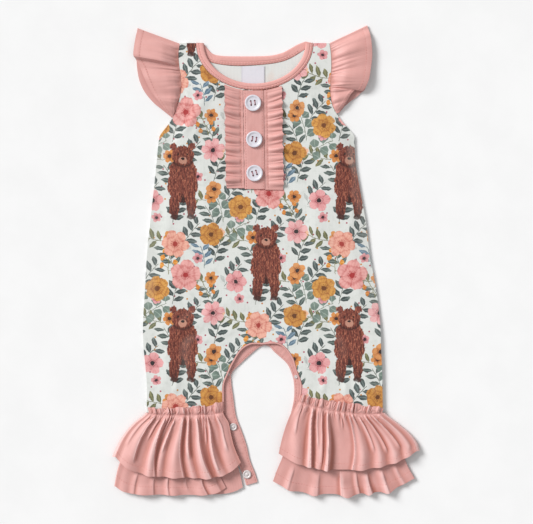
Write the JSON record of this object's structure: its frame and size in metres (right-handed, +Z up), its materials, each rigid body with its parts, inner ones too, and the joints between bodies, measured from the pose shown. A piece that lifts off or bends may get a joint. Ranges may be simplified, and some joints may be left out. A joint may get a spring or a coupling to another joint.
{
  "type": "baby romper",
  "caption": "Baby romper laid flat: floral print body, pink flutter sleeves, pleated button placket, snapped inseam and gathered ruffle tiers round the legs.",
  "frame": {"origin": "centre of the garment's bounding box on the surface it lies on", "axes": "X across the garment to the viewer's right, Y from the leg hems up to the shoulders, Z up off the surface"},
  "size_m": [0.325, 0.4994, 0.0127],
  "materials": {
    "printed_jersey": "matte",
    "pink_jersey": "satin",
    "pink_binding": "matte",
    "woven_label": "satin",
    "button_plastic": "gloss",
    "snap_resin": "gloss"
  },
  "bodies": {
    "root": {"back_panel": "printed_jersey", "front_panel": "printed_jersey", "neck_binding_back": "pink_binding", "neck_binding_front": "pink_binding", "neck_label": "woven_label", "placket_strip": "pink_jersey", "placket_frill_left": "pink_jersey", "placket_frill_right": "pink_jersey", "sleeve_left": "pink_jersey", "sleeve_right": "pink_jersey", "inseam_strip_back": "pink_binding", "inseam_rim_front": "pink_binding", "ruffle_upper_left": "pink_jersey", "ruffle_upper_right": "pink_jersey", "ruffle_lower_left": "pink_jersey", "ruffle_lower_right": "pink_jersey", "button_top": "button_plastic", "button_middle": "button_plastic", "button_bottom": "button_plastic", "snap_open_upper": "snap_resin", "snap_open_lower": "snap_resin", "snap_closed_crotch": "snap_resin", "snap_closed_left": "snap_resin", "snap_closed_right": "snap_resin"}
  },
  "joints": []
}
